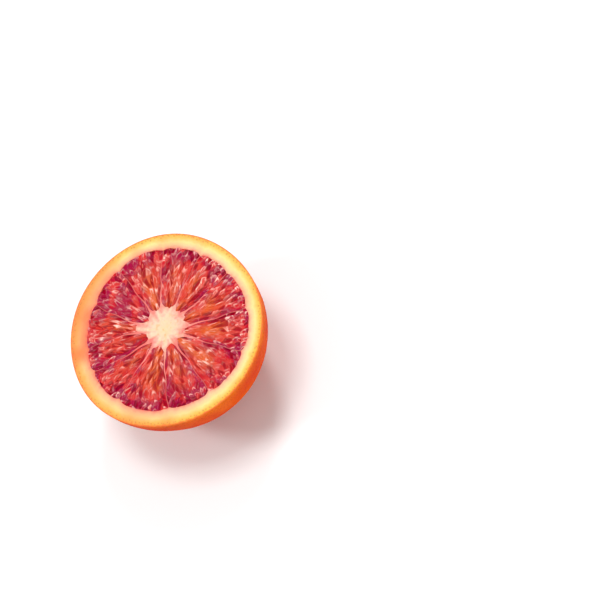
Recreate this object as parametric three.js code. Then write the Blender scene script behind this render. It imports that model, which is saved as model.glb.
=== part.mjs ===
// Half of a blood orange, cut across its segments and lying on its round back with the cut face up.
//
// Frame: millimetres, +Z up along the fruit's axis. The origin is the middle of the small flat spot that the
// half rests on. Angles on the cut face run counter-clockwise from +X, seen from above.
//
// The half is one closed solid. Its cut face has the fruit's true relief: the cut edge of the rind stands
// highest, the white pith behind it is a little dished, twelve pulp segments lie lower between thin radial
// membranes, and the membranes meet in a star-shaped core.
import * as THREE from "three";

// Driving dimensions.
const FACE_RADIUS = 37.5; // mean radius of the cut face, to the outside of the rind
const POLE_DEPTH = 1.08 * FACE_RADIUS; // from the widest ring down to the pole, as the fruit is a little long
const CUT_HEIGHT = 0.02 * FACE_RADIUS; // the cut lies this far above the widest ring
const REST_RADIUS = 8; // flat spot at the pole
const EDGE_ROUNDING = 0.7; // the rind's cut edge

// Relief of the cut face, measured down from its highest level.
const PITH_DISH = 0.35; // depth of the pith ring's dish
const WEB_DROP = 0.15; // membranes and core
const CORE_DISH = 0.45; // the spongy core sinks in its middle
const PULP_DROP = 0.9; // edge of each pulp segment
const PULP_CROWN = 0.55; // rise of the pulp towards the middle of its segment

// Pulp outline and membranes.
const PULP_RADIUS = 0.842 * FACE_RADIUS; // mean radius of the pulp, so the rind and pith are 5.9 mm thick
const PULP_SCALLOP = 1.0; // the pulp's outer edge draws in by this at each membrane
const TIP_ROUNDING = 2.6; // the pulp's inner tip draws out by this at each membrane
const MEMBRANE_HALF_WIDTH = 0.42; // at the rind
const MEMBRANE_ROOT_WIDENING = 0.5; // added to the half width at the core
const WALL_RUN = 0.3; // the wall of a pulp pocket leans by this much

// The fruit isn't perfectly round: each term swells the radius by a share of it, `waves` times round the axis.
const BODY_SWELLS = [
  { waves: 2, share: 0.004, peak: 40 },
  { waves: 3, share: 0.0065, peak: -12 },
  { waves: 5, share: 0.003, peak: 20 },
];
const PULP_SWELLS = [
  { waves: 1, share: 0.015, peak: 22 },
  { waves: 3, share: 0.016, peak: -6 },
];

// The membrane on each segment's clockwise side: its angle where it leaves the core and where it meets the
// pith, in degrees, and the radius of the segment's inner tip as a share of the face radius.
const SEGMENTS = [
  { root: 11, rim: 16, tip: 0.22 },
  { root: 43, rim: 45, tip: 0.225 },
  { root: 74, rim: 70, tip: 0.23 },
  { root: 105, rim: 98, tip: 0.235 },
  { root: 133, rim: 132, tip: 0.22 },
  { root: 169, rim: 161, tip: 0.3 },
  { root: 186, rim: 195, tip: 0.2 },
  { root: 218, rim: 212, tip: 0.19 },
  { root: 239, rim: 241, tip: 0.19 },
  { root: 275, rim: 279, tip: 0.165 },
  { root: 311, rim: 310, tip: 0.175 },
  { root: 344, rim: 345, tip: 0.2 },
];
const ROOT_RADIUS = 0.25 * FACE_RADIUS; // where the root angles are given

// Mesh density.
const CORE_RINGS = 3;
const PULP_RINGS = 6;
const PITH_RINGS = 3;
const EDGE_RINGS = 3;
const SKIN_RINGS = 19;
// Columns across a segment: its membrane's middle, the top and the foot of the pocket's wall, and the pulp.
const PULP_COLUMNS = [0.2, 0.35, 0.5, 0.65, 0.8];

const TURN = 2 * Math.PI;
const radians = THREE.MathUtils.degToRad;
const lerp = THREE.MathUtils.lerp;
const clamp = THREE.MathUtils.clamp;

// The factor by which a list of swells scales the radius at an angle.
function swell(terms, angle) {
  return terms.reduce((sum, t) => sum + t.share * Math.cos(t.waves * (angle - radians(t.peak))), 1);
}

// The radius of the body at a height above the widest ring, before its swells.
function bodyRadius(height) {
  return FACE_RADIUS * Math.sqrt(1 - (height / POLE_DEPTH) ** 2);
}

// Height of the flat spot and of the cut face, both measured from the widest ring.
const REST_LEVEL = -POLE_DEPTH * Math.sqrt(1 - (REST_RADIUS / FACE_RADIUS) ** 2);
const FACE_Z = CUT_HEIGHT - REST_LEVEL;

// The angle of a segment's clockwise membrane at a radius: straight from its root to its rim.
function membraneAngle(index, radius) {
  const turns = Math.floor(index / SEGMENTS.length);
  const segment = SEGMENTS[index % SEGMENTS.length];
  const share = clamp((radius - ROOT_RADIUS) / (PULP_RADIUS - ROOT_RADIUS), -0.3, 1);
  return radians(lerp(segment.root, segment.rim, share)) + turns * TURN;
}

// Half of a membrane's width at a radius: it thickens towards the core.
function membraneHalfWidth(radius) {
  const share = clamp((PULP_RADIUS - radius) / (PULP_RADIUS - ROOT_RADIUS), 0, 1.2);
  return MEMBRANE_HALF_WIDTH + MEMBRANE_ROOT_WIDENING * share ** 3;
}

// How far a place across a segment is from its middle: 0 in the middle and 1 at either membrane.
function sideways(across) {
  return Math.abs(2 * across - 1);
}

// Inner end of a segment's pulp at a place across it: a rounded tip.
function innerRadius(segment, across) {
  return segment.tip * FACE_RADIUS + TIP_ROUNDING * sideways(across) ** 4;
}

// Outer end of a segment's pulp: the pulp circle, scalloped between the membranes.
function outerRadius(angle, across) {
  return PULP_RADIUS * swell(PULP_SWELLS, angle) - PULP_SCALLOP * sideways(across) ** 6;
}

// Every column round the face: which segment it lies in, where across it, and whether it lies in the pulp.
function faceColumns() {
  const columns = [];
  SEGMENTS.forEach((segment, index) => {
    columns.push({ index, segment, across: 0, wall: 0, pulp: false });
    columns.push({ index, segment, across: 0, wall: 1, pulp: false });
    columns.push({ index, segment, across: 0, wall: 2, pulp: true });
    for (const across of PULP_COLUMNS) columns.push({ index, segment, across, wall: 0, pulp: true });
    columns.push({ index, segment, across: 1, wall: -2, pulp: true });
    columns.push({ index, segment, across: 1, wall: -1, pulp: false });
  });
  return columns;
}

// The angle of a column at a radius. A wall column keeps its distance from the membrane in millimetres.
function columnAngle(column, radius) {
  const low = membraneAngle(column.index, radius);
  const high = membraneAngle(column.index + 1, radius);
  const steps = Math.abs(column.wall);
  if (steps === 0) return lerp(low, high, column.across);
  const gap = membraneHalfWidth(radius) + (steps === 2 ? WALL_RUN : 0);
  return column.across === 0 ? low + gap / radius : high - gap / radius;
}

// A column's place across its segment at a radius, walls included.
function placeAcross(column, radius) {
  const low = membraneAngle(column.index, radius);
  const high = membraneAngle(column.index + 1, radius);
  return (columnAngle(column, radius) - low) / (high - low);
}

const columns = faceColumns();
const evenAngle = (position) => (position / columns.length) * TURN;

// One point of the cut face, at a radius along a column, `drop` below the face's highest level.
function facePoint(column, radius, drop) {
  const angle = columnAngle(column, radius);
  return [radius * Math.cos(angle), radius * Math.sin(angle), FACE_Z - drop];
}

// The radius where a column's pulp ends, inside or outside, found at the column's own angle there.
function pulpEnd(column, outer) {
  let radius = outer ? PULP_RADIUS : column.segment.tip * FACE_RADIUS;
  for (let pass = 0; pass < 3; pass++) {
    const across = placeAcross(column, radius);
    const angle = columnAngle(column, radius);
    radius = outer ? outerRadius(angle, across) : innerRadius(column.segment, across);
  }
  return radius;
}

// Core: rings that grow from the axis to the inner ends of the pulp, dished in the middle.
function coreRings() {
  const rings = [];
  for (let i = 1; i <= CORE_RINGS; i++) {
    const share = i / CORE_RINGS;
    const drop = WEB_DROP + CORE_DISH * (1 - share) ** 2;
    rings.push(columns.map((column) => facePoint(column, pulpEnd(column, false) * share, drop)));
  }
  return rings;
}

// Pulp: rings from the inner to the outer ends, low in the pockets and at web level on the membranes.
function pulpRings() {
  const rings = [];
  for (let i = 0; i <= PULP_RINGS; i++) {
    const share = i / PULP_RINGS;
    rings.push(
      columns.map((column) => {
        const inner = pulpEnd(column, false) + WALL_RUN;
        const outer = pulpEnd(column, true) - WALL_RUN;
        const radius = lerp(inner, outer, share);
        if (!column.pulp) return facePoint(column, radius, WEB_DROP);
        const crown = Math.sin(Math.PI * share) * (1 - sideways(placeAcross(column, radius)) ** 2);
        return facePoint(column, radius, PULP_DROP - PULP_CROWN * crown);
      }),
    );
  }
  return rings;
}

// Pith and the rind's cut edge: columns slide to an even spacing as they run out to the rounded edge.
function pithRings() {
  const rings = [];
  for (let i = 0; i <= PITH_RINGS; i++) {
    const share = i / PITH_RINGS;
    rings.push(
      columns.map((column, position) => {
        const inner = pulpEnd(column, true);
        const start = columnAngle(column, inner);
        const angle = lerp(start, evenAngle(position) + FIRST_ANGLE, share);
        const outer = bodyRadius(CUT_HEIGHT) * swell(BODY_SWELLS, angle) - EDGE_ROUNDING;
        const radius = lerp(inner, outer, share);
        const drop = PITH_DISH * Math.sin(Math.PI * share) + WEB_DROP * (1 - share);
        return [radius * Math.cos(angle), radius * Math.sin(angle), FACE_Z - drop];
      }),
    );
  }
  return rings;
}

// The even spacing starts so that the columns slide as little as they can.
const FIRST_ANGLE =
  columns.reduce((sum, column, i) => sum + columnAngle(column, PULP_RADIUS) - evenAngle(i), 0) / columns.length;

// A level ring of the outside, `inset` inside the body's radius at its height above the widest ring.
function skinRing(height, inset) {
  return columns.map((_, position) => {
    const angle = evenAngle(position) + FIRST_ANGLE;
    const radius = bodyRadius(height) * swell(BODY_SWELLS, angle) - inset;
    return [radius * Math.cos(angle), radius * Math.sin(angle), height - REST_LEVEL];
  });
}

// Outside: a quarter-round cut edge, then even steps of angle down the body to the flat spot.
function skinRings() {
  const rings = [];
  for (let i = 1; i <= EDGE_RINGS; i++) {
    const turn = (i / EDGE_RINGS) * (Math.PI / 2);
    rings.push(skinRing(CUT_HEIGHT - EDGE_ROUNDING * (1 - Math.cos(turn)), EDGE_ROUNDING * (1 - Math.sin(turn))));
  }
  const first = Math.asin((CUT_HEIGHT - EDGE_ROUNDING) / POLE_DEPTH);
  const last = Math.asin(REST_LEVEL / POLE_DEPTH);
  for (let i = 1; i <= SKIN_RINGS; i++) {
    rings.push(skinRing(POLE_DEPTH * Math.sin(lerp(first, last, i / SKIN_RINGS)), 0));
  }
  return rings;
}

// Joins closed rings of equal count into one closed surface, with a point at each end, facing outwards.
function closedSurface(top, rings, bottom) {
  const count = columns.length;
  const positions = [top, ...rings.flat(), bottom];
  const at = (ring, column) => 1 + ring * count + (column % count);
  const index = [];
  for (let c = 0; c < count; c++) {
    index.push(0, at(0, c), at(0, c + 1));
    for (let r = 0; r + 1 < rings.length; r++) {
      index.push(at(r, c), at(r + 1, c), at(r + 1, c + 1));
      index.push(at(r, c), at(r + 1, c + 1), at(r, c + 1));
    }
    index.push(positions.length - 1, at(rings.length - 1, c + 1), at(rings.length - 1, c));
  }
  const geometry = new THREE.BufferGeometry();
  geometry.setAttribute("position", new THREE.Float32BufferAttribute(positions.flat(), 3));
  geometry.setIndex(index);
  geometry.computeVertexNormals();
  return geometry;
}

// The whole half: face, edge, skin and flat spot in one closed mesh.
function orangeHalf() {
  const top = [0, 0, FACE_Z - WEB_DROP - CORE_DISH];
  const rings = [...coreRings(), ...pulpRings(), ...pithRings(), ...skinRings()];
  const material = new THREE.MeshStandardMaterial({ color: 0xe8641e, roughness: 0.45, metalness: 0 });
  const mesh = new THREE.Mesh(closedSurface(top, rings, [0, 0, 0]), material);
  mesh.name = "orange_half";
  return mesh;
}

const group = new THREE.Group();
group.add(orangeHalf());

export default group;
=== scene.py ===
"""Looks of a blood orange half that lies on its round back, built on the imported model.

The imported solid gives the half's size, its resting spot and the plan of its cut face. This script replaces it
with the pieces of a real fruit: the pitted rind, the white pith, twelve segments of juice sacs, the web of
membranes that grows from the core, loose sacs that the knife left standing, and the scar at the pole.

Everything is in metres. Heights run up from the flat resting spot, and angles on the cut face run
counter-clockwise from +X, seen from above.
"""

import itertools
import logging
import math
from collections.abc import Callable, Sequence
from dataclasses import dataclass
from enum import Enum

import bpy
import numpy as np
from mathutils import Matrix, Vector
from mathutils.geometry import delaunay_2d_cdt
from mathutils.kdtree import KDTree


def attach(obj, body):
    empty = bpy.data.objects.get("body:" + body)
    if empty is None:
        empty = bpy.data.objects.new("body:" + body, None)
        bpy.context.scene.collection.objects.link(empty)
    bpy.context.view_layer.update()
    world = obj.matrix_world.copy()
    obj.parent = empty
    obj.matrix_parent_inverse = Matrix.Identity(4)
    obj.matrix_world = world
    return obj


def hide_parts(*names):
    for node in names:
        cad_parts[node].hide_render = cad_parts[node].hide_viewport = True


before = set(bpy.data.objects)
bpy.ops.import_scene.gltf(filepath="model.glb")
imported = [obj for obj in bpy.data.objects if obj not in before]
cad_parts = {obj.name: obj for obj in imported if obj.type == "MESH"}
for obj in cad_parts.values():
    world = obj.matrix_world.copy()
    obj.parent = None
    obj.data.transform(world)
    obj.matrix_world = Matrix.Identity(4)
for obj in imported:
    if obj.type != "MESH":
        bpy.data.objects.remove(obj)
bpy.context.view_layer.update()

log = logging.getLogger("blood_orange_half")

Array = np.ndarray
Colour = tuple[float, float, float]

MM = 0.001
TURN = 2 * math.pi
GOLDEN_TURN = math.pi * (3 - math.sqrt(5))
ROW_HEIGHT = math.sqrt(3) / 2
EDGE_CLEARANCE = 0.6
HIDDEN_PITCH = 0.08
SEAM_SHIFT = 1e-4
MERGE_DISTANCE = 1e-9
BODY = "root"
CAD_NODE = "orange_half"


# ---------------------------------------------------------------------------------------------------------
# Small helpers for shapes
# ---------------------------------------------------------------------------------------------------------


def smooth_step(low: float, high: float, value: Array) -> Array:
    """Eases from 0 to 1 as a value goes from low to high.

    Args:
        low: The value up to which the result is 0.
        high: The value from which the result is 1.
        value: The values to ease.

    Returns:
        The eased share of each value.
    """
    share = np.clip((value - low) / (high - low), 0, 1)
    return share * share * (3 - 2 * share)


def bell(distance: Array, width: float) -> Array:
    """A bell curve: 1 at no distance, and fading over about a width."""
    return np.exp(-((distance / width) ** 2))


def on_circle(radius: Array, angle: Array) -> Array:
    """Plan points at radii and angles round the axis."""
    return np.stack([radius * np.cos(angle), radius * np.sin(angle)], axis=-1)


def column_angles(radius: float, width: float) -> Array:
    """Angles of even columns round a circle, counter-clockwise from just past -X."""
    count = round(TURN * radius / width)
    return np.arange(count) / count * TURN - math.pi + SEAM_SHIFT


@dataclass(frozen=True)
class SoftNoise:
    """A smooth random field, from -1 to 1, in the plane or in space.

    Attributes:
        size: About how far apart its bumps are.
        seed: What its random values start from.
    """

    size: float
    seed: int

    VALUES = 8192
    SCRAMBLE = (73856093, 19349663, 83492791)

    def __call__(self, points: Array) -> Array:
        """Reads the field.

        Args:
            points: Points of two or three coordinates, one a row.

        Returns:
            The field's value at each point.
        """
        table = np.random.default_rng(self.seed).uniform(-1, 1, self.VALUES)
        cells = points / self.size
        base = np.floor(cells).astype(np.int64)
        part = smooth_step(0, 1, cells - base)
        total = np.zeros(len(points))
        for corner in itertools.product((0, 1), repeat=points.shape[1]):
            offset = np.array(corner)
            weight = np.prod(np.where(offset == 1, part, 1 - part), axis=1)
            spots = (base + offset) * np.array(self.SCRAMBLE[: len(corner)])
            total += weight * table[np.bitwise_xor.reduce(spots, axis=1) % self.VALUES]
        return total


def resampled(path: Array, spacing: float, closed: bool = True) -> Array:
    """A path with its points set evenly along it.

    Args:
        path: The path's points in the plane.
        spacing: About how far apart the new points are.
        closed: Whether the path runs back to its first point.

    Returns:
        The new points. An open path keeps both of its ends.
    """
    points = np.vstack([path, path[:1]]) if closed else path
    steps = np.hypot(*np.diff(points, axis=0).T)
    along = np.concatenate([[0], np.cumsum(steps)])
    count = max(3, round(along[-1] / spacing))
    places = np.linspace(0, along[-1], count + 1)
    new = np.stack([np.interp(places, along, points[:, axis]) for axis in (0, 1)], axis=1)
    return new[:-1] if closed else new


def lies_inside(points: Array, outline: Array) -> Array:
    """Tells which points lie inside a closed outline.

    Args:
        points: Points of the plane.
        outline: The outline's corners in order.

    Returns:
        One truth value for each point.
    """
    x, y = points.T
    result = np.zeros(len(points), bool)
    for (x0, y0), (x1, y1) in zip(outline, np.roll(outline, -1, axis=0)):
        if y0 == y1:
            continue
        crossing = (y0 > y) != (y1 > y)
        result ^= crossing & (x < (x1 - x0) * (y - y0) / (y1 - y0) + x0)
    return result


def filled(outline: Array, inner: Array) -> tuple[Array, Array]:
    """Triangles that fill an outline.

    Args:
        outline: Corners of the outline, counter-clockwise.
        inner: Points inside it that the triangles also use.

    Returns:
        All points, the outline's first, and the triangles, counter-clockwise.
    """
    points = np.vstack([outline, inner])
    border = list(range(len(outline)))
    found = delaunay_2d_cdt([Vector(p) for p in points], [], [border], 1, MERGE_DISTANCE, False)
    return np.array([v[:] for v in found[0]]), np.array(flooded(found[2], len(outline)))


def flooded(triangles: Sequence[Sequence[int]], corners: int) -> list[Sequence[int]]:
    """Keeps the triangles that a flood reaches from a closed outline's inner side.

    Args:
        triangles: Triangles, counter-clockwise.
        corners: How many of the first points make the outline, counter-clockwise.

    Returns:
        The triangles inside the outline.
    """
    owner = {(t[i - 1], t[i]): number for number, t in enumerate(triangles) for i in range(3)}
    front = [owner[i, (i + 1) % corners] for i in range(corners)]
    reached = set(front)
    while front:
        triangle = triangles[front.pop()]
        for start, end in zip((triangle[-1], *triangle), triangle):
            beyond = owner.get((end, start))
            if not (start < corners and end == (start + 1) % corners) and beyond not in reached:
                reached.add(beyond)
                front.append(beyond)
    return [triangles[number] for number in sorted(reached)]


def hexagonal_lattice(outline: Array, spacing: float) -> Array:
    """Evenly spread points inside an outline, clear of its edge.

    Args:
        outline: Corners of the outline.
        spacing: How far apart the points are.

    Returns:
        The points.
    """
    low, high = outline.min(axis=0), outline.max(axis=0)
    rows = np.arange(low[1], high[1], spacing * ROW_HEIGHT)
    columns = np.arange(low[0] - spacing, high[0] + spacing, spacing)
    x, y = np.meshgrid(columns, rows)
    x = x + (np.arange(len(rows)) % 2)[:, None] * spacing / 2
    points = np.stack([x.ravel(), y.ravel()], axis=1)
    points = points[lies_inside(points, outline)]
    edge = KDTree(len(outline))
    for i, corner in enumerate(outline):
        edge.insert((*corner, 0), i)
    edge.balance()
    clear = [edge.find((*p, 0))[2] > EDGE_CLEARANCE * spacing for p in points]
    return points[clear]


def root_three_refined(points: Array, triangles: Array) -> tuple[Array, Array]:
    """Makes triangles three times as many: each gets a point in its middle, and inner edges are swapped.

    Args:
        points: Points of the plane.
        triangles: Triangles, counter-clockwise.

    Returns:
        The points with the new ones after them, and the new triangles.
    """
    middles = points[triangles].mean(axis=1)
    hub = np.repeat(len(points) + np.arange(len(triangles)), 3)
    start = triangles.ravel()
    end = np.roll(triangles, -1, axis=1).ravel()
    key = np.minimum(start, end) * len(points) + np.maximum(start, end)
    order = np.argsort(key, kind="stable")
    twin = key[order][:-1] == key[order][1:]
    first, second = order[:-1][twin], order[1:][twin]
    lone = np.ones(len(key), bool)
    lone[first] = lone[second] = False
    swapped = np.concatenate(
        [
            np.stack([start[first], hub[second], hub[first]], axis=1),
            np.stack([end[first], hub[first], hub[second]], axis=1),
            np.stack([start[lone], end[lone], hub[lone]], axis=1),
        ]
    )
    return np.vstack([points, middles]), swapped


@dataclass
class Surface:
    """Points and triangles that grow into one closed mesh.

    Attributes:
        points: The points, one a row.
        triangles: Three point numbers a row, counter-clockwise seen from outside.
        finish: For each triangle, the number of its material.
        marks: Values at each point, by name.
    """

    points: Array
    triangles: Array
    finish: Array
    marks: dict[str, Array]

    @classmethod
    def empty(cls, *marks: str) -> "Surface":
        """A surface with nothing in it, whose points will carry the marks named."""
        none = np.zeros((0, 3))
        return cls(none, none.astype(int), np.zeros(0, int), {name: np.zeros(0) for name in marks})

    def add_points(self, points: Array, **marks: Array | float) -> Array:
        """Adds points.

        Args:
            points: The new points.
            marks: Their values, one for each or one for all. A mark not given is 0.

        Returns:
            The new points' numbers.
        """
        first = len(self.points)
        self.points = np.vstack([self.points, points])
        for name in self.marks:
            value = np.broadcast_to(marks.get(name, 0.0), (len(points),))
            self.marks[name] = np.concatenate([self.marks[name], value])
        return first + np.arange(len(points))

    def add_triangles(self, triangles: Array, finish: int = 0) -> None:
        """Adds triangles, all of one material."""
        self.triangles = np.vstack([self.triangles, triangles])
        self.finish = np.concatenate([self.finish, np.full(len(triangles), finish)])

    def band(self, upper: Array, lower: Array, finish: int = 0) -> None:
        """Joins two closed loops of as many points each.

        Args:
            upper: Point numbers of the upper loop, which runs to the right seen from outside.
            lower: Point numbers of the lower loop.
            finish: The number of the band's material.
        """
        after_upper, after_lower = np.roll(upper, -1), np.roll(lower, -1)
        self.add_triangles(np.stack([upper, lower, after_lower], axis=1), finish)
        self.add_triangles(np.stack([upper, after_lower, after_upper], axis=1), finish)

    def make(
        self, name: str, materials: Sequence[bpy.types.Material], sharp: Sequence[Array] = ()
    ) -> bpy.types.Object:
        """Makes the Blender object.

        Args:
            name: The piece's name.
            materials: Its materials, in the order that finish counts them.
            sharp: Closed loops of point numbers along which the shading breaks.

        Returns:
            The new object, in the scene.
        """
        mesh = bpy.data.meshes.new(name)
        mesh.vertices.add(len(self.points))
        mesh.vertices.foreach_set("co", self.points.astype(np.float32).ravel())
        mesh.loops.add(self.triangles.size)
        mesh.loops.foreach_set("vertex_index", self.triangles.astype(np.int32).ravel())
        mesh.polygons.add(len(self.triangles))
        mesh.polygons.foreach_set("loop_start", np.arange(0, self.triangles.size, 3, dtype=np.int32))
        mesh.polygons.foreach_set("material_index", self.finish.astype(np.int32))
        mesh.update(calc_edges=True)
        mesh.shade_smooth()
        for mark, values in self.marks.items():
            layer = mesh.attributes.new(mark, "FLOAT", "POINT")
            layer.data.foreach_set("value", values.astype(np.float32))
        self._crease(mesh, sharp)
        for material in materials:
            mesh.materials.append(material)
        piece = bpy.data.objects.new(name, mesh)
        bpy.context.scene.collection.objects.link(piece)
        return piece

    def _crease(self, mesh: bpy.types.Mesh, loops: Sequence[Array]) -> None:
        """Marks the edges along closed loops of points as sharp.

        Args:
            mesh: The mesh.
            loops: The loops' point numbers.
        """
        if not loops:
            return
        pairs = np.vstack([np.stack([loop, np.roll(loop, -1)], axis=1) for loop in loops])
        wanted = set(map(tuple, np.sort(pairs, axis=1).tolist()))
        ends = np.zeros(len(mesh.edges) * 2, np.int32)
        mesh.edges.foreach_get("vertices", ends)
        edges = np.sort(ends.reshape(-1, 2), axis=1).tolist()
        layer = mesh.attributes.new("sharp_edge", "BOOLEAN", "EDGE")
        layer.data.foreach_set("value", [tuple(edge) in wanted for edge in edges])


def add_block(
    surface: Surface,
    outline: Array,
    spacings: tuple[float, float],
    top: Callable[[Array], tuple[Array, dict]],
    floor: Callable[[Array], tuple[Array, dict]],
) -> Array:
    """Adds a closed block with upright sides along an outline.

    Args:
        surface: The surface it is added to.
        outline: The outline, counter-clockwise.
        spacings: How far apart the points of its top are, and those of its floor.
        top: Gives the top's heights and marks at plan points.
        floor: Gives the floor's heights and marks at plan points.

    Returns:
        The numbers of the points round its top.
    """
    rims = []
    for spacing, relief, step in zip(spacings, (top, floor), (1, -1)):
        plan, triangles = filled(outline, hexagonal_lattice(outline, spacing))
        height, marks = relief(plan)
        numbers = surface.add_points(np.column_stack([plan, height]), **marks)
        surface.add_triangles(numbers[triangles[:, ::step]])
        rims.append(numbers[: len(outline)])
    surface.band(*rims)
    return rims[0]


# ---------------------------------------------------------------------------------------------------------
# The fruit's plan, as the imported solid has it
# ---------------------------------------------------------------------------------------------------------


@dataclass(frozen=True)
class Swell:
    """A slight swelling of a radius, in waves round the axis.

    Attributes:
        waves: How many waves there are.
        share: By what share of itself the radius grows at most.
        peak: Angle of one of the peaks, in degrees.
    """

    waves: int
    share: float
    peak: float


@dataclass(frozen=True)
class Segment:
    """One segment of the fruit.

    Attributes:
        root: Angle where its clockwise membrane leaves the core, in degrees.
        rim: Angle where that membrane meets the pith, in degrees.
        tip: Radius of the pulp's inner tip as a share of the face radius.
        wine: How dark red its flesh is, from 0 to 1.
        amber: How strongly an orange streak shows in it, from 0 to 1.
        streak: Where across the segment that streak lies, from 0 to 1.
        pale: How strongly its pale sac walls and their painted highlights show: 0 hides them, and above 1 they
            show most.
    """

    root: float
    rim: float
    tip: float
    wine: float
    amber: float
    streak: float
    pale: float


SEGMENTS = (
    Segment(root=11, rim=16, tip=0.22, wine=0.15, amber=0.55, streak=0.5, pale=1.2),
    Segment(root=43, rim=45, tip=0.225, wine=0.20, amber=0.45, streak=0.6, pale=1.2),
    Segment(root=74, rim=70, tip=0.23, wine=0.42, amber=0.50, streak=0.4, pale=0.75),
    Segment(root=105, rim=98, tip=0.235, wine=0.33, amber=0.60, streak=0.4, pale=0.5),
    Segment(root=133, rim=132, tip=0.22, wine=0.95, amber=0.05, streak=0.5, pale=0.3),
    Segment(root=169, rim=161, tip=0.3, wine=0.12, amber=0.50, streak=0.5, pale=1.1),
    Segment(root=186, rim=195, tip=0.2, wine=0.50, amber=0.30, streak=0.3, pale=1.0),
    Segment(root=218, rim=212, tip=0.19, wine=0.62, amber=0.40, streak=0.5, pale=0.6),
    Segment(root=239, rim=241, tip=0.19, wine=0.60, amber=0.60, streak=0.6, pale=0.6),
    Segment(root=275, rim=279, tip=0.165, wine=0.85, amber=0.45, streak=0.5, pale=0.45),
    Segment(root=311, rim=310, tip=0.175, wine=0.42, amber=0.60, streak=0.45, pale=0.65),
    Segment(root=344, rim=345, tip=0.2, wine=0.22, amber=0.60, streak=0.5, pale=1.1),
)


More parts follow.
